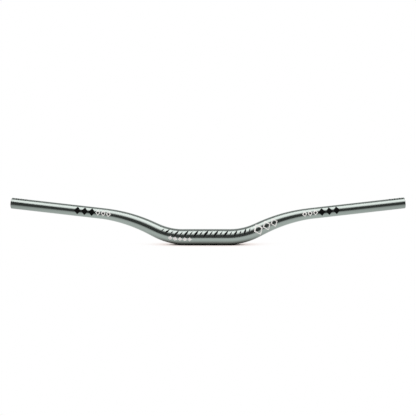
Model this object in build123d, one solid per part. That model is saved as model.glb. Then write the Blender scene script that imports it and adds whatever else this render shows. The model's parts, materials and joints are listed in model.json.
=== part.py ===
from build123d import *
import math
import os

# Riser handlebar for a bicycle: one butted aluminium tube, thick at the stem and bent twice on each side.
# The origin is the middle of the clamp. X runs along the bar, Y towards the rider and Z up.

# Driving dimensions, in millimetres and degrees
WIDTH = 800.0               # between the middles of the two ends
RISE = 40.0                 # from the clamp's axis up to where the rise meets the grip's axis
UPSWEEP = 5.0               # climb of the grips towards their ends
BACKSWEEP = 8.0             # turn of the arms towards the rider

CLAMP_DIAMETER = 31.8
CLAMP_LENGTH = 70.0         # parallel length for the stem, before the taper
CLAMP_WALL = 2.4
GRIP_DIAMETER = 22.2
GRIP_WALL = 1.8

BEND_LEAD = 9.0             # straight length from the clamp to the inner bend
INNER_BEND_RADIUS = 130.0   # both bends are measured to the tube's axis
RISE_LENGTH = 14.0          # straight length between the two bends
OUTER_BEND_RADIUS = 310.0
TAPER_EASE = 18.0           # length over which the taper starts, and over which it ends

END_CHAMFER = 0.5           # on the outer and the inner edge of each end
SECTION_SPACING = 9.0       # at most, between the sections that shape the tapered bends

# Angles of the arm, in radians
BACK = math.radians(BACKSWEEP)
UP = math.radians(UPSWEEP)
ANGLE_TOLERANCE = 1e-12


def inner_cut(slope):
    """Length that the inner bend takes from each side of its corner."""
    turn = math.acos(math.cos(slope) * math.cos(BACK))
    return INNER_BEND_RADIUS * math.tan(turn / 2)


def outer_cut(slope):
    """Length that the outer bend takes from each side of its corner."""
    return OUTER_BEND_RADIUS * math.tan((slope - UP) / 2)


def corner_spacing(slope):
    """Distance between the corners of the two bends."""
    return inner_cut(slope) + RISE_LENGTH + outer_cut(slope)


def rise_slope():
    """Slope between the bends that lifts the arm by the rise, found by halving."""
    low = UP
    high = math.pi / 2
    while high - low > ANGLE_TOLERANCE:
        slope = (low + high) / 2
        if corner_spacing(slope) * math.sin(slope) < RISE:
            low = slope
        else:
            high = slope
    return slope


def heading(slope):
    """Direction of an arm that climbs at a slope."""
    return Vector(math.cos(BACK) * math.cos(slope), math.sin(BACK) * math.cos(slope), math.sin(slope))


# Axis of one arm, from the middle of the clamp to the end
SLOPE = rise_slope()
INNER_CORNER = Vector(CLAMP_LENGTH / 2 + BEND_LEAD + inner_cut(SLOPE), 0, 0)
OUTER_CORNER = INNER_CORNER + heading(SLOPE) * corner_spacing(SLOPE)
TIP = OUTER_CORNER + heading(UP) * ((WIDTH / 2 - OUTER_CORNER.X) / heading(UP).X)
BEND_RADII = (INNER_BEND_RADIUS, OUTER_BEND_RADIUS)
AXIS = FilletPolyline((0, 0, 0), INNER_CORNER, OUTER_CORNER, TIP, radius=BEND_RADII)

# The taper runs from the end of the clamp to the end of the outer bend, where the straight grip starts
GRIP_LENGTH = (TIP - OUTER_CORNER).length - outer_cut(SLOPE)
TAPER_START = CLAMP_LENGTH / 2
TAPER_LENGTH = AXIS.length - GRIP_LENGTH - TAPER_START

CLAMP_RADIUS = CLAMP_DIAMETER / 2
GRIP_RADIUS = GRIP_DIAMETER / 2


def tapered(distance):
    """Share of the taper that is done at a distance from its start: eased in, even, then eased out."""
    steady = TAPER_LENGTH - TAPER_EASE
    if distance < TAPER_EASE:
        return distance**2 / (2 * TAPER_EASE * steady)
    if distance > steady:
        return 1 - (TAPER_LENGTH - distance)**2 / (2 * TAPER_EASE * steady)
    return (distance - TAPER_EASE / 2) / steady


def section_plane(along):
    """Plane square to the axis at a length along it, turned so that its x direction stays level."""
    direction = AXIS.tangent_at(along, position_mode=PositionMode.LENGTH)
    origin = AXIS.position_at(along, position_mode=PositionMode.LENGTH)
    return Plane(origin=origin, x_dir=Vector(0, 0, 1).cross(direction), z_dir=direction)


def tapered_bends(clamp_radius, grip_radius):
    """Solid round bar along both bends, from one radius to the other."""
    count = math.ceil(TAPER_LENGTH / SECTION_SPACING)
    distances = [TAPER_LENGTH * i / count for i in range(count + 1)]
    sections = []
    for distance in distances:
        radius = clamp_radius + (grip_radius - clamp_radius) * tapered(distance)
        sections.append(section_plane(TAPER_START + distance) * Circle(radius))
    return loft(sections)


def ring(radius, wall):
    """Section of the tube where it is straight."""
    return Circle(radius) - Circle(radius - wall)


# Middle of the bar, parallel for the stem
clamp = extrude(Plane.YZ.offset(-CLAMP_LENGTH / 2) * ring(CLAMP_RADIUS, CLAMP_WALL), CLAMP_LENGTH)

# Both bends of one arm, where the tube thins in diameter and in wall
bends = tapered_bends(CLAMP_RADIUS, GRIP_RADIUS)
bends -= tapered_bends(CLAMP_RADIUS - CLAMP_WALL, GRIP_RADIUS - GRIP_WALL)

# Straight grip, with its open end chamfered inside and out
grip = extrude(section_plane(TAPER_START + TAPER_LENGTH) * ring(GRIP_RADIUS, GRIP_WALL), GRIP_LENGTH)
grip = chamfer(grip.faces().sort_by(Axis.X)[-1].edges(), END_CHAMFER)

# The whole bar, with the second arm as the mirror of the first
arm = bends + grip
handlebar = clamp + arm + mirror(arm, about=Plane.YZ)

os.makedirs("parts", exist_ok=True)
export_step(handlebar, "parts/handlebar.step")
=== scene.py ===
import json
import math
from collections import namedtuple

import bmesh
import bpy
from mathutils import Matrix, Vector


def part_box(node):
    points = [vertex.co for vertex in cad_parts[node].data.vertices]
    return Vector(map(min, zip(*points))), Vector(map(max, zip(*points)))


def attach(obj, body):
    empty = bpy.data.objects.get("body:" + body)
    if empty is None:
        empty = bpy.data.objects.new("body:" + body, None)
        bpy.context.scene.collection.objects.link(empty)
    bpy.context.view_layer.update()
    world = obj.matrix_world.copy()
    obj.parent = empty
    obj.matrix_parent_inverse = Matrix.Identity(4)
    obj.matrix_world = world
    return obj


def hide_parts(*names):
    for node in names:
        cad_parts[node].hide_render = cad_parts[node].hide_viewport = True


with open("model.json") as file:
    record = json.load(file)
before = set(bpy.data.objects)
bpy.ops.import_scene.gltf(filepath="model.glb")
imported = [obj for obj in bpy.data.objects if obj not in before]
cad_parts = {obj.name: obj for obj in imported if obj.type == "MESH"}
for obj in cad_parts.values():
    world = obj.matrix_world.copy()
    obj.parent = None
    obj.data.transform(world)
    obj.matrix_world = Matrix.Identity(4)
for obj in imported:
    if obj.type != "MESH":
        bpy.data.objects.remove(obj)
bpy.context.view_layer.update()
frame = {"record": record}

# Handlebar
# One drawn aluminium tube with a thick middle, tapered and then bent twice on each side in a press, blasted
# with fine beads and anodised a grey green. The ends are cut square and chamfered inside and out.
MILLIMETRE = 0.001
RISE = 40 * MILLIMETRE                 # from the clamp's axis up to where the rise meets the grip's axis
INNER_BEND_RADIUS = 130 * MILLIMETRE
OUTER_BEND_RADIUS = 310 * MILLIMETRE
TAPER_EASE = 18 * MILLIMETRE           # length over which the taper starts, and over which it ends
CLAMP_WALL = 2.4 * MILLIMETRE
END_CHAMFER = 0.5 * MILLIMETRE
SKIN_SPACING = 3 * MILLIMETRE          # between the rings of the outside
BORE_SPACING = 6 * MILLIMETRE
TUBE_SEGMENTS = 96
MIRROR_MERGE = 0.001 * MILLIMETRE      # points of the two halves that lie nearer than this become one
SHARP_EDGE = math.radians(30)

mounts = {mount["name"]: mount for mount in frame["record"]["mounts"]}
clamp_radius = mounts["stem_clamp"]["dims"]["r_mm"] * MILLIMETRE
clamp_length = mounts["stem_clamp"]["dims"]["length_mm"] * MILLIMETRE
grip_radius = mounts["grip_left"]["dims"]["r_mm"] * MILLIMETRE
grip_length = mounts["grip_left"]["dims"]["length_mm"] * MILLIMETRE
grip_bore_radius = mounts["end_bore_left"]["dims"]["r_mm"] * MILLIMETRE
grip_middle = Vector(mounts["grip_left"]["pos_m"])
grip_axis = Vector(mounts["grip_left"]["axis"]).normalized()

# The axis of one arm has two corners: where the arm leaves the clamp's axis, and where the rise meets the
# grip's axis. Bends round them off, so it is straight runs and bends, and a straight run has no pivot.
Run = namedtuple("Run", "start heading length pivot radius", defaults=(None, None))
inner_corner = Vector((grip_middle.x - grip_middle.y * grip_axis.x / grip_axis.y, 0, 0))
outer_corner = grip_middle + grip_axis * (RISE - grip_middle.z) / grip_axis.z
tip = grip_middle + grip_axis * (grip_length / 2 + END_CHAMFER)

runs = []
run_start = Vector((0, 0, 0))
for corner, beyond, bend_radius in ((inner_corner, outer_corner, INNER_BEND_RADIUS),
                                    (outer_corner, tip, OUTER_BEND_RADIUS)):
    heading = (corner - run_start).normalized()
    heading_beyond = (beyond - corner).normalized()
    turn = heading.angle(heading_beyond)
    cut = bend_radius * math.tan(turn / 2)
    runs.append(Run(run_start, heading, (corner - run_start).length - cut))
    runs.append(Run(corner - heading * cut, heading, bend_radius * turn,
                    heading.cross(heading_beyond).normalized(), bend_radius))
    run_start = corner + heading_beyond * cut
runs.append(Run(run_start, grip_axis, (tip - run_start).length))

arm_length = sum(run.length for run in runs)
taper_start = clamp_length / 2
taper_length = arm_length - runs[-1].length - taper_start


def axis_point(along):
    """Point and direction of the tube's axis, at a length along one arm from the middle of the bar."""
    for run in runs:
        if along <= run.length or run is runs[-1]:
            break
        along -= run.length
    if run.pivot is None:
        return run.start + run.heading * along, run.heading
    centre = run.start + run.pivot.cross(run.heading) * run.radius
    turned = Matrix.Rotation(along / run.radius, 3, run.pivot)
    return centre + turned @ (run.start - centre), turned @ run.heading


def section(along, radius):
    """Matrix that lays a ring of radius 1 round X on the tube's axis, with its Y to the back and its Z up."""
    point, heading = axis_point(along)
    back = Vector((0, 0, 1)).cross(heading).normalized()
    turned = Matrix((heading, back, heading.cross(back))).transposed().to_4x4()
    return Matrix.Translation(point) @ turned @ Matrix.Scale(radius, 4)


def tapered(along, clamp_size, grip_size):
    """A radius at a length along one arm, which changes steadily between an easy start and an easy end."""
    done = min(max(along - taper_start, 0), taper_length)
    steady = taper_length - TAPER_EASE
    if done < TAPER_EASE:
        share = done**2 / (2 * TAPER_EASE * steady)
    elif done > steady:
        share = 1 - (taper_length - done)**2 / (2 * TAPER_EASE * steady)
    else:
        share = (done - TAPER_EASE / 2) / steady
    return clamp_size + (grip_size - clamp_size) * share


def skin_radius(along):
    return tapered(along, clamp_radius, grip_radius)


def bore_radius(along):
    return tapered(along, clamp_radius - CLAMP_WALL, grip_bore_radius)


def spaced(length, spacing):
    """Evenly spaced distances from 0 to a length."""
    count = math.ceil(length / spacing)
    return [length * step / count for step in range(count + 1)]


# The rings of one arm go out along the skin, over the end and back along the bore
wall_length = arm_length - END_CHAMFER
stations = [(along, skin_radius(along)) for along in spaced(wall_length, SKIN_SPACING)]
stations += [(arm_length, grip_radius - END_CHAMFER), (arm_length, grip_bore_radius + END_CHAMFER)]
stations += [(along, bore_radius(along)) for along in reversed(spaced(wall_length, BORE_SPACING))]

# Each point keeps where it lay on the straight tube, before the bends: the finish follows that
tube = bmesh.new()
straight_place = tube.verts.layers.float_vector.new("straight_place")
previous = section(*stations[0])
first_ring = previous @ Matrix.Rotation(math.pi / 2, 4, "Y")
moved = bmesh.ops.create_circle(tube, segments=TUBE_SEGMENTS, radius=1, matrix=first_ring)["verts"]
ring = tube.edges[:]
for along, radius in stations:
    here = section(along, radius)
    if (along, radius) != stations[0]:
        grown = bmesh.ops.extrude_edge_only(tube, edges=ring)["geom"]
        moved = [item for item in grown if isinstance(item, bmesh.types.BMVert)]
        ring = [item for item in grown if isinstance(item, bmesh.types.BMEdge) and item.is_boundary]
        bmesh.ops.transform(tube, matrix=here @ previous.inverted(), verts=moved)
    for vertex in moved:
        vertex[straight_place] = (here.inverted() @ vertex.co) * radius + Vector((along, 0, 0))
    previous = here
bmesh.ops.mirror(tube, geom=tube.verts[:] + tube.edges[:] + tube.faces[:], axis="X", merge_dist=MIRROR_MERGE)
bmesh.ops.recalc_face_normals(tube, faces=tube.faces)


def finished_piece(name, shape, material):
    """Makes a bmesh an object with smooth sides and sharp edges, which rides on the bar."""
    mesh = bpy.data.meshes.new(name)
    shape.to_mesh(mesh)
    shape.free()
    mesh.shade_smooth()
    mesh.set_sharp_from_angle(angle=SHARP_EDGE)
    mesh.materials.append(material)
    piece = bpy.data.objects.new(name, mesh)
    bpy.context.scene.collection.objects.link(piece)
    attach(piece, "root")
    return piece


def linear(hex_colour):
    """An sRGB hex colour as linear red, green, blue and alpha."""
    shares = [int(hex_colour[place:place + 2], 16) / 255 for place in (1, 3, 5)]
    return [share / 12.92 if share <= 0.04045 else ((share + 0.055) / 1.055)**2.4 for share in shares] + [1]


def add_node(tree, kind, inputs, **settings):
    """Adds a node. An input that is a socket is linked, and any other value is set."""
    node = tree.nodes.new(kind)
    for name, value in settings.items():
        setattr(node, name, value)
    for name, value in inputs.items():
        if isinstance(value, bpy.types.NodeSocket):
            tree.links.new(value, node.inputs[name])
        else:
            node.inputs[name].default_value = value
    return node


def new_material(name):
    """A material with no nodes yet, and its node tree."""
    material = bpy.data.materials.new(name)
    material.use_nodes = True
    material.node_tree.nodes.clear()
    return material, material.node_tree


# Anodised aluminium, blasted before the bath: soft reflections that still show the studio in bands, faint
# lines from the drawing die along the tube, a fine matt grain, and a rim painted brighter at the chamfered
# ends, partly worn bare metal and partly a painted highlight on the chamfers.
DRAW_LINE_LENGTH = 90 * MILLIMETRE
DRAW_LINE_WIDTH = 1.6 * MILLIMETRE     # real lines are finer: these are as coarse as they need to be to show
DRAW_LINE_LOW = 0.3                    # most of the noise that draws them lies between these two levels
DRAW_LINE_HIGH = 0.7
BEAD_DENT_WIDTH = 0.7 * MILLIMETRE     # drawn about four times as wide as the real dents
BEAD_DENT_DEPTH = 0.004 * MILLIMETRE
RIM_START = END_CHAMFER / 4            # from the chamfer back to where the painted brighter rim begins
ROUGHNESS = 0.206
ROUGHNESS_SPREAD = 0.03
DEEP_DYE = "#9AA49F"
PALE_DYE = "#A6B1AB"
WORN_RIM_AND_HIGHLIGHT_COLOUR = "#C3C7C4"

anodised, tree = new_material("anodised_aluminium")
place = add_node(tree, "ShaderNodeAttribute", {}, attribute_name="straight_place")
stretched = add_node(tree, "ShaderNodeMapping",
                     {"Vector": place.outputs["Vector"],
                      "Scale": (1 / DRAW_LINE_LENGTH, 1 / DRAW_LINE_WIDTH, 1 / DRAW_LINE_WIDTH)})
draw_lines = add_node(tree, "ShaderNodeTexNoise",
                      {"Vector": stretched.outputs["Vector"], "Scale": 1.0, "Detail": 3.0})
dye = add_node(tree, "ShaderNodeMix",
               {0: draw_lines.outputs["Fac"], 6: linear(DEEP_DYE), 7: linear(PALE_DYE)}, data_type="RGBA")
parts = add_node(tree, "ShaderNodeSeparateXYZ", {0: place.outputs["Vector"]})
# The chamfered ends are painted brighter: partly worn bare metal, partly a painted highlight.
at_worn_and_highlighted_rim = add_node(tree, "ShaderNodeMapRange",
                  {"Value": parts.outputs["X"], "From Min": wall_length - RIM_START, "From Max": wall_length})
colour = add_node(tree, "ShaderNodeMix",
                  {0: at_worn_and_highlighted_rim.outputs["Result"], 6: dye.outputs[2], 7: linear(WORN_RIM_AND_HIGHLIGHT_COLOUR)}, data_type="RGBA")
gloss = add_node(tree, "ShaderNodeMapRange",
                 {"Value": draw_lines.outputs["Fac"], "From Min": DRAW_LINE_LOW, "From Max": DRAW_LINE_HIGH,
                  "To Min": ROUGHNESS - ROUGHNESS_SPREAD, "To Max": ROUGHNESS + ROUGHNESS_SPREAD})
dents = add_node(tree, "ShaderNodeTexNoise",
                 {"Vector": place.outputs["Vector"], "Scale": 1 / BEAD_DENT_WIDTH, "Detail": 1.0})
grain = add_node(tree, "ShaderNodeBump",
                 {"Height": dents.outputs["Fac"], "Strength": 1.0, "Distance": BEAD_DENT_DEPTH})
metal = add_node(tree, "ShaderNodeBsdfPrincipled",
                 {"Base Color": colour.outputs[2], "Metallic": 1.0, "Roughness": gloss.outputs["Result"],
                  "Normal": grain.outputs["Normal"]})
add_node(tree, "ShaderNodeOutputMaterial", {"Surface": metal.outputs["BSDF"]})

handlebar = finished_piece("handlebar_tube", tube, anodised)
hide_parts("handlebar")

# Clamp pattern
# A row of lozenges in black ink across the front of the clamp, screen printed on the finish and baked.
# The artwork is cut flat, with x along the bar and y up round it, and then bent on to the tube.
INK_PROUD = 0.03 * MILLIMETRE
INK_SUNK = 0.03 * MILLIMETRE           # the film's underside lies this far inside the skin, and no gap shows
INK_FACE_ALONG = 4 * MILLIMETRE        # longest face of the film along the tube, and round it
INK_FACE_ROUND = 0.6 * MILLIMETRE
INK_MERGE = 0.01 * MILLIMETRE          # corners nearer than this, which the cuts leave, become one


def lozenge(art, x, y, length, height, line=None, lean=0):
    """Adds a lozenge to flat artwork, with its middle at x and y. It is solid, or where line gives a width, a
    line round its edge. Where it leans, its top is that share of its height further along."""
    at = Matrix.Translation((x, y, 0)) @ Matrix.Diagonal((length / 2, height / 2, 1, 1))
    at[0][1] = lean * height / 2
    corners = bmesh.ops.create_circle(art, cap_ends=True, segments=4, radius=1, matrix=at)["verts"]
    if line:
        middle = corners[0].link_faces[0]
        bmesh.ops.inset_region(art, faces=[middle], thickness=line, use_boundary=True, use_even_offset=True)
        bmesh.ops.delete(art, geom=[middle], context="FACES_ONLY")


def printed(name, art, middle, facing, ink):
    """Bends flat artwork on to the tube as a film of ink. Its x is 0 at the length middle along the bar, and
    its y is 0 at the angle facing, which is 0 at the front of the tube and a quarter turn on top."""
    for axis, longest in ((Vector((1, 0, 0)), INK_FACE_ALONG), (Vector((0, 1, 0)), INK_FACE_ROUND)):
        reach = [vertex.co.dot(axis) for vertex in art.verts]
        for distance in spaced(max(reach) - min(reach), longest)[1:-1]:
            bmesh.ops.bisect_plane(art, geom=art.verts[:] + art.edges[:] + art.faces[:],
                                   plane_co=axis * (min(reach) + distance), plane_no=axis)
    bmesh.ops.remove_doubles(art, verts=art.verts, dist=INK_MERGE)
    bmesh.ops.dissolve_degenerate(art, dist=INK_MERGE, edges=art.edges)
    film = bmesh.ops.extrude_face_region(art, geom=art.faces[:], use_keep_orig=True)["geom"]
    bmesh.ops.translate(art, vec=(0, 0, INK_SUNK + INK_PROUD),
                        verts=[item for item in film if isinstance(item, bmesh.types.BMVert)])
    bmesh.ops.recalc_face_normals(art, faces=art.faces)
    for vertex in art.verts:
        along = middle + vertex.co.x
        radius = skin_radius(abs(along))
        angle = facing + vertex.co.y / radius
        outwards = Vector((0, -math.cos(angle), math.sin(angle)))
        laid = section(abs(along), radius - INK_SUNK + vertex.co.z) @ outwards
        vertex.co = (math.copysign(laid.x, along), laid.y, laid.z)
    finished_piece(name, art, ink)


# Screen ink is opaque and half matt, a little thinner in places, which the eye takes as faint mottling
INK_MOTTLE = 1.5 * MILLIMETRE


def screen_ink(name, thin, thick, roughness, shine):
    """An ink with its colours where the film is thin and where it is thick."""
    material, tree = new_material(name)
    place = add_node(tree, "ShaderNodeTexCoord", {})
    mottle = add_node(tree, "ShaderNodeTexNoise",
                      {"Vector": place.outputs["Object"], "Scale": 1 / INK_MOTTLE, "Detail": 2.0})
    colour = add_node(tree, "ShaderNodeMix",
                      {0: mottle.outputs["Fac"], 6: linear(thin), 7: linear(thick)}, data_type="RGBA")
    film = add_node(tree, "ShaderNodeBsdfPrincipled",
                    {"Base Color": colour.outputs[2], "Roughness": roughness, "Specular IOR Level": shine})
    add_node(tree, "ShaderNodeOutputMaterial", {"Surface": film.outputs["BSDF"]})
    return material


black_ink = screen_ink("black_screen_ink", thin="#0F100F", thick="#050505", roughness=0.75, shine=0.12)
white_ink = screen_ink("white_screen_ink", thin="#E4E5E0", thick="#F4F4F0", roughness=0.5, shine=0.5)

CLAMP_COUNT_EACH_SIDE = 9
CLAMP_STEP = 10 * MILLIMETRE
CLAMP_LOZENGE_LENGTH = 6.5 * MILLIMETRE
CLAMP_LOZENGE_HEIGHT = 18 * MILLIMETRE
CLAMP_LEAN = 0.6
CLAMP_SMALL = 0.6                      # size of every other lozenge
CLAMP_SHRINK = 0.97                    # from one lozenge to the next outwards
CLAMP_FACING = math.radians(38)

art = bmesh.new()
for step in range(-CLAMP_COUNT_EACH_SIDE, CLAMP_COUNT_EACH_SIDE + 1):
    share = CLAMP_SHRINK**abs(step) * (CLAMP_SMALL if step % 2 else 1)
    lozenge(art, step * CLAMP_STEP, 0, CLAMP_LOZENGE_LENGTH * share, CLAMP_LOZENGE_HEIGHT * share,
            lean=CLAMP_LEAN)
printed("clamp_pattern", art, 0, CLAMP_FACING, black_ink)

# Clamp row
# A short row of solid lozenges in white ink, low on the front and at the rider's right of the clamp.
# It is screen printed and baked like the pattern above it.
ROW_MIDDLE = -52 * MILLIMETRE
ROW_COUNT = 5
ROW_STEP = 9.5 * MILLIMETRE
ROW_LOZENGE_LENGTH = 9 * MILLIMETRE
ROW_LOZENGE_HEIGHT = 8.5 * MILLIMETRE
ROW_FACING = math.radians(-7)

art = bmesh.new()
for step in range(ROW_COUNT):
    lozenge(art, ROW_STEP * (step - (ROW_COUNT - 1) / 2), 0, ROW_LOZENGE_LENGTH, ROW_LOZENGE_HEIGHT)
printed("clamp_row", art, ROW_MIDDLE, ROW_FACING, white_ink)

# Rise pattern
# A chain of lozenge outlines in white ink on the rise of the rider's left arm, printed like the others.
# They shrink outwards along it.
RISE_PATTERN_START = 97 * MILLIMETRE
RISE_COUNT = 3
RISE_LOZENGE_LENGTH = 19 * MILLIMETRE
RISE_LOZENGE_HEIGHT = 27 * MILLIMETRE
RISE_LINE = 2.5 * MILLIMETRE
RISE_SHRINK = 0.86                     # from one lozenge to the next outwards
RISE_GAP = 0.8 * MILLIMETRE
RISE_FACING = math.radians(14)

art = bmesh.new()
reached = 0
for step in range(RISE_COUNT):
    share = RISE_SHRINK**step
    length = RISE_LOZENGE_LENGTH * share
    lozenge(art, reached + length / 2, 0, length, RISE_LOZENGE_HEIGHT * share, RISE_LINE * share)
    reached += length + RISE_GAP
printed("rise_pattern", art, RISE_PATTERN_START, RISE_FACING, white_ink)

# Arm patterns
# A short printed row of lozenges on each arm, just inside the grip: solid ones in black ink, and towards the
# middle of the bar smaller outlines in white ink.
ARMS = ((1, "left"), (-1, "right"))    # the way each arm points along X, and its side for the rider
ARM_PATTERN_MIDDLE = 232 * MILLIMETRE
ARM_BLACK_STEP = 15 * MILLIMETRE
ARM_WHITE_STEP = 11 * MILLIMETRE
ARM_GAP = 0.8 * MILLIMETRE             # between one lozenge and the next
ARM_BLACK_HEIGHT = 17 * MILLIMETRE
ARM_WHITE_HEIGHT = 12 * MILLIMETRE
ARM_LINE = 1.8 * MILLIMETRE
ARM_COUNT = 3                          # of each colour
ARM_FACING = math.radians(14)

for side, arm in ARMS:
    black_art = bmesh.new()
    white_art = bmesh.new()
    for step in range(ARM_COUNT):
        black_x = side * ARM_BLACK_STEP * (step + 0.5)
        white_x = -side * ARM_WHITE_STEP * (step + 0.5)
        lozenge(black_art, black_x, 0, ARM_BLACK_STEP - ARM_GAP, ARM_BLACK_HEIGHT)
        lozenge(white_art, white_x, 0, ARM_WHITE_STEP - ARM_GAP, ARM_WHITE_HEIGHT, ARM_LINE)
    printed("arm_pattern_black_" + arm, black_art, side * ARM_PATTERN_MIDDLE, ARM_FACING, black_ink)
    printed("arm_pattern_white_" + arm, white_art, side * ARM_PATTERN_MIDDLE, ARM_FACING, white_ink)

# Trim marks
# A scale in black ink on top of each end, where the bar may be sawn shorter. Every other mark has the width
# in millimetres that a cut there, and its like at the other end, leaves.
TRIM_STEP = 5 * MILLIMETRE
TRIM_COUNT = 6
TRIM_MARK_WIDTH = 1.5 * MILLIMETRE
TRIM_MARK_HEIGHTS = (7 * MILLIMETRE, 4.5 * MILLIMETRE)     # with a number, and without
TRIM_DIGIT_HEIGHT = 3.2 * MILLIMETRE
TRIM_FACING = math.radians(58)
DIGIT_SHARE = 0.73                     # of the lettering's size, that a digit is high
full_width = round(2 * tip.x / MILLIMETRE)


def mark(art, x, y, length, height):
    """Adds a plain mark to flat artwork, with the middle of its lower edge at x and y."""
    at = Matrix.Translation((x, y + height / 2, 0)) @ Matrix.Diagonal((length / 2, height / 2, 1, 1))
    bmesh.ops.create_grid(art, x_segments=1, y_segments=1, size=1, matrix=at)


def number(art, value, x, y, height):
    """Adds a plain number to flat artwork, with its middle at x and y and turned for the rider to read."""
    digits = bpy.data.curves.new("digits", "FONT")
    digits.body = str(value)
    digits.size = height / DIGIT_SHARE
    digits.align_x = "CENTER"
    digits.align_y = "CENTER"
    holder = bpy.data.objects.new("digits", digits)
    outline = bpy.data.meshes.new_from_object(holder)
    outline.transform(Matrix.Translation((x, y, 0)) @ Matrix.Rotation(math.pi, 4, "Z"))
    art.from_mesh(outline)
    bpy.data.objects.remove(holder)
    bpy.data.curves.remove(digits)
    bpy.data.meshes.remove(outline)


for side, arm in ARMS:
    art = bmesh.new()
    for step in range(1, TRIM_COUNT + 1):
        inwards = -side * TRIM_STEP * step
        mark(art, inwards, 0, TRIM_MARK_WIDTH, TRIM_MARK_HEIGHTS[step % len(TRIM_MARK_HEIGHTS)])
        if step % len(TRIM_MARK_HEIGHTS) == 0:
            cut_width = round(full_width - 2 * TRIM_STEP * step / MILLIMETRE)
            number(art, cut_width, inwards, TRIM_MARK_HEIGHTS[0] + TRIM_DIGIT_HEIGHT, TRIM_DIGIT_HEIGHT)
    printed("trim_marks_" + arm, art, side * arm_length, TRIM_FACING, black_ink)

# Floor
# A table covered in white paper under the bar, which stands on its thick middle. The paper glows, and the
# camera sees it white but for a painted shadow, darker where less open sky reaches it. The metal mirrors it
# as a painted pool of light with a deeper painted shadow, which fades to the dark of the room, and from below
# it is clear.
FLOOR_FRONT = -0.8
FLOOR_BACK = 0.5
FLOOR_HALF_WIDTH = 0.9
SHADOW_REACH = 0.2                     # things further off leave the paper's sky open
SHADOW_BLACK = 0.14                    # share of open sky overhead, up to which the painted shadow is black
SHADOW_SEEN = ((0.28, (0.76, 0.69, 0.66)),     # the painted shadow's colours by larger shares
               (0.48, (0.93, 0.87, 0.85)),
               (0.62, (1, 1, 1)))
MIRRORED_BLACK = 0.1                   # the shares between which the deeper painted shadow fades out in reflections
MIRRORED_WHITE = 0.9
POOL_MIDDLE = 0.04                     # how far back the middle of the painted pool of light lies
POOL_HALF_WIDTH = 0.94
POOL_HALF_DEPTH = 0.39
POOL_FULL = 0.17                       # share of the pool, from its middle, that is fully lit
ROOM_LEVEL = 0.063                     # of the dark room in front, which the painted pool fades to
floor_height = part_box("handlebar")[0].z

floor_shape = bmesh.new()
floor_place = (Matrix.Translation((0, (FLOOR_FRONT + FLOOR_BACK) / 2, floor_height))
               @ Matrix.Diagonal((FLOOR_HALF_WIDTH, (FLOOR_BACK - FLOOR_FRONT) / 2, 1, 1)))
bmesh.ops.create_grid(floor_shape, x_segments=1, y_segments=1, size=1, matrix=floor_place)
floor_mesh = bpy.data.meshes.new("floor")
floor_shape.to_mesh(floor_mesh)
floor_shape.free()

# The paper's glow, with its painted shadow and painted pool of light, is what the camera and the metal see
# of it. It is no lamp, so it isn't sampled as one.
paper, tree = new_material("white_paper")
paper.cycles.emission_sampling = "NONE"
# Painted shadow: the paper's colour darkens where less open sky reaches it within the reach
sky = add_node(tree, "ShaderNodeAmbientOcclusion", {"Distance": SHADOW_REACH})
shadow = add_node(tree, "ShaderNodeValToRGB", {"Fac": sky.outputs["AO"]})
shadow.color_ramp.elements[0].position = SHADOW_BLACK
for share, colour in SHADOW_SEEN:
    shadow.color_ramp.elements.new(share).color = (*colour, 1)
# Painted pool of light for the metal to mirror: full round its middle, fading to the room's level
place = add_node(tree, "ShaderNodeTexCoord", {})
pool = add_node(tree, "ShaderNodeMapping",
                {"Vector": place.outputs["Object"], "Location": (0, POOL_MIDDLE, floor_height),
                 "Scale": (POOL_HALF_WIDTH, POOL_HALF_DEPTH, 1)}, vector_type="TEXTURE")
from_middle = add_node(tree, "ShaderNodeVectorMath", {0: pool.outputs["Vector"]}, operation="LENGTH")
painted_pool = add_node(tree, "ShaderNodeMapRange",
               {"Value": from_middle.outputs["Value"], "From Min": POOL_FULL,
                "To Min": 1.0, "To Max": ROOM_LEVEL}, interpolation_type="SMOOTHSTEP")
mirrored_painted_light = add_node(tree, "ShaderNodeMapRange",
                    {"Value": sky.outputs["AO"], "From Min": MIRRORED_BLACK, "From Max": MIRRORED_WHITE,
                     "To Max": painted_pool.outputs["Result"]}, interpolation_type="SMOOTHSTEP")
path = add_node(tree, "ShaderNodeLightPath", {})
glow = add_node(tree, "ShaderNodeMix",
                {"Factor": path.outputs["Is Camera Ray"], "A": mirrored_painted_light.outputs["Result"], "B": 1.0},
                data_type="FLOAT")
seen = add_node(tree, "ShaderNodeEmission",
                {"Color": shadow.outputs["Color"], "Strength": glow.outputs["Result"]})
# The matt paper carries the painted shadow in its colour too
matt = add_node(tree, "ShaderNodeBsdfDiffuse", {"Color": shadow.outputs["Color"]})
straight = add_node(tree, "ShaderNodeMath",
                    {0: path.outputs["Is Camera Ray"], 1: path.outputs["Is Glossy Ray"]}, operation="MAXIMUM")
paper_shown = add_node(tree, "ShaderNodeMixShader",
                       {0: straight.outputs["Value"], 1: matt.outputs["BSDF"], 2: seen.outputs["Emission"]})
face = add_node(tree, "ShaderNodeNewGeometry", {})
clear = add_node(tree, "ShaderNodeBsdfTransparent", {})
one_sided = add_node(tree, "ShaderNodeMixShader",
                     {0: face.outputs["Backfacing"], 1: paper_shown.outputs["Shader"],
                      2: clear.outputs["BSDF"]})
add_node(tree, "ShaderNodeOutputMaterial", {"Surface": one_sided.outputs["Shader"]})
floor_mesh.materials.append(paper)
floor = bpy.data.objects.new("floor", floor_mesh)
bpy.context.scene.collection.objects.link(floor)

# Light
# One wide softbox overhead that fades out towards the camera, a white backdrop behind the bar, and a dark
# room in front. The camera itself sees white all round.
SOFTBOX_HEIGHT = 0.45
SOFTBOX_FRONT = -0.57
SOFTBOX_FULL = -0.15                   # from here to the back, it is at full brightness
SOFTBOX_BACK = 0.083
SOFTBOX_WIDTH = 1.27
SOFTBOX_SIDE = 0.073
SOFTBOX_POWER = 6.69                   # watts for each square metre
SOFTBOX_COLOUR = "#FFFAFC"

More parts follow.
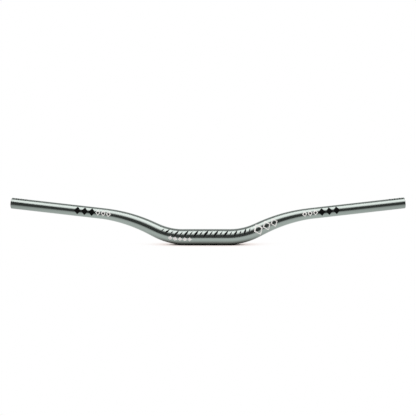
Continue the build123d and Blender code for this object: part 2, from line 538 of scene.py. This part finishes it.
softbox_depth = SOFTBOX_BACK - SOFTBOX_FRONT
softbox = bpy.data.lights.new("softbox", "AREA")
softbox.shape = "RECTANGLE"
softbox.color = linear(SOFTBOX_COLOUR)[:3]
softbox.size = SOFTBOX_WIDTH
softbox.size_y = softbox_depth
softbox.energy = SOFTBOX_POWER * SOFTBOX_WIDTH * softbox_depth
softbox.use_nodes = True
tree = softbox.node_tree
tree.nodes.clear()
place = add_node(tree, "ShaderNodeNewGeometry", {})
parts = add_node(tree, "ShaderNodeSeparateXYZ", {0: place.outputs["Position"]})
fade = add_node(tree, "ShaderNodeMapRange",
                {"Value": parts.outputs["Y"], "From Min": SOFTBOX_FRONT, "From Max": SOFTBOX_FULL},
                interpolation_type="SMOOTHSTEP")
glow = add_node(tree, "ShaderNodeEmission", {"Strength": fade.outputs["Result"]})
add_node(tree, "ShaderNodeOutputLight", {"Surface": glow.outputs["Emission"]})
softbox_object = bpy.data.objects.new("softbox", softbox)
softbox_object.location = (SOFTBOX_SIDE, (SOFTBOX_FRONT + SOFTBOX_BACK) / 2, SOFTBOX_HEIGHT)
softbox_object.visible_camera = False
bpy.context.scene.collection.objects.link(softbox_object)

# Each level fades to the next between two values of how far a direction points back, up or aside
BACKDROP_LEVEL = 0.99
CEILING_LEVEL = 0.4                    # above the backdrop
SIDE_LEVEL = 0.18                      # beside the backdrop and the room
FILL_LEVEL = 0.25                      # the room's level for matt surfaces, which no reflection shows
ROOM_TO_BACKDROP = (-0.1, 0.2)
BACKDROP_TO_CEILING = (0.2, 0.6)
BACKDROP_TO_SIDE = (0.2, 0.7)
ROOM_TO_SIDE = (0.35, 0.85)

world = bpy.data.worlds.new("studio")
world.use_nodes = True
tree = world.node_tree
tree.nodes.clear()
direction = add_node(tree, "ShaderNodeTexCoord", {})
parts = add_node(tree, "ShaderNodeSeparateXYZ", {0: direction.outputs["Generated"]})
aside = add_node(tree, "ShaderNodeMath", {0: parts.outputs["X"]}, operation="ABSOLUTE")
behind = add_node(tree, "ShaderNodeMapRange",
                  {"Value": parts.outputs["Y"],
                   "From Min": ROOM_TO_BACKDROP[0], "From Max": ROOM_TO_BACKDROP[1]},
                  interpolation_type="SMOOTHSTEP")
across = add_node(tree, "ShaderNodeMapRange",
                  {"Value": aside.outputs["Value"],
                   "From Min": BACKDROP_TO_SIDE[0], "From Max": BACKDROP_TO_SIDE[1],
                   "To Min": BACKDROP_LEVEL, "To Max": SIDE_LEVEL}, interpolation_type="SMOOTHSTEP")
backdrop = add_node(tree, "ShaderNodeMapRange",
                    {"Value": parts.outputs["Z"],
                     "From Min": BACKDROP_TO_CEILING[0], "From Max": BACKDROP_TO_CEILING[1],
                     "To Min": across.outputs["Result"], "To Max": CEILING_LEVEL},
                    interpolation_type="SMOOTHSTEP")
path = add_node(tree, "ShaderNodeLightPath", {})
front = add_node(tree, "ShaderNodeMix",
                 {"Factor": path.outputs["Is Diffuse Ray"], "A": ROOM_LEVEL, "B": FILL_LEVEL},
                 data_type="FLOAT")
room = add_node(tree, "ShaderNodeMapRange",
                {"Value": aside.outputs["Value"], "From Min": ROOM_TO_SIDE[0], "From Max": ROOM_TO_SIDE[1],
                 "To Min": front.outputs["Result"], "To Max": SIDE_LEVEL}, interpolation_type="SMOOTHSTEP")
around = add_node(tree, "ShaderNodeMix",
                  {"Factor": behind.outputs["Result"], "A": room.outputs["Result"],
                   "B": backdrop.outputs["Result"]}, data_type="FLOAT")
level = add_node(tree, "ShaderNodeMix",
                 {"Factor": path.outputs["Is Camera Ray"], "A": around.outputs["Result"], "B": 1.0},
                 data_type="FLOAT")
background = add_node(tree, "ShaderNodeBackground",
                      {"Color": (1, 1, 1, 1), "Strength": level.outputs["Result"]})
add_node(tree, "ShaderNodeOutputWorld", {"Surface": background.outputs["Background"]})
bpy.context.scene.world = world
bpy.context.scene.view_settings.view_transform = "Standard"

# Camera
# A long lens three metres in front of the bar and a little above it, aimed over the clamp.
CAMERA_DISTANCE = 3.0
CAMERA_AZIMUTH = math.radians(2.61)
CAMERA_ELEVATION = math.radians(11.61)
CAMERA_ROLL = math.radians(-0.50)
CAMERA_LENS = 128.9                    # in millimetres, as Blender takes it, and so is the sensor's width
CAMERA_SENSOR = 36
CAMERA_AIM = Vector((0.0038, 0, 0.0592))

eye = CAMERA_DISTANCE * Vector((math.sin(CAMERA_AZIMUTH) * math.cos(CAMERA_ELEVATION),
                                -math.cos(CAMERA_AZIMUTH) * math.cos(CAMERA_ELEVATION),
                                math.sin(CAMERA_ELEVATION)))
camera = bpy.data.cameras.new("camera")
camera.lens = CAMERA_LENS
camera.sensor_width = CAMERA_SENSOR
camera_object = bpy.data.objects.new("camera", camera)
aim = (CAMERA_AIM - eye).to_track_quat("-Z", "Y").to_matrix() @ Matrix.Rotation(CAMERA_ROLL, 3, "Z")
camera_object.matrix_world = Matrix.Translation(eye) @ aim.to_4x4()
bpy.context.scene.collection.objects.link(camera_object)
bpy.context.scene.camera = camera_object
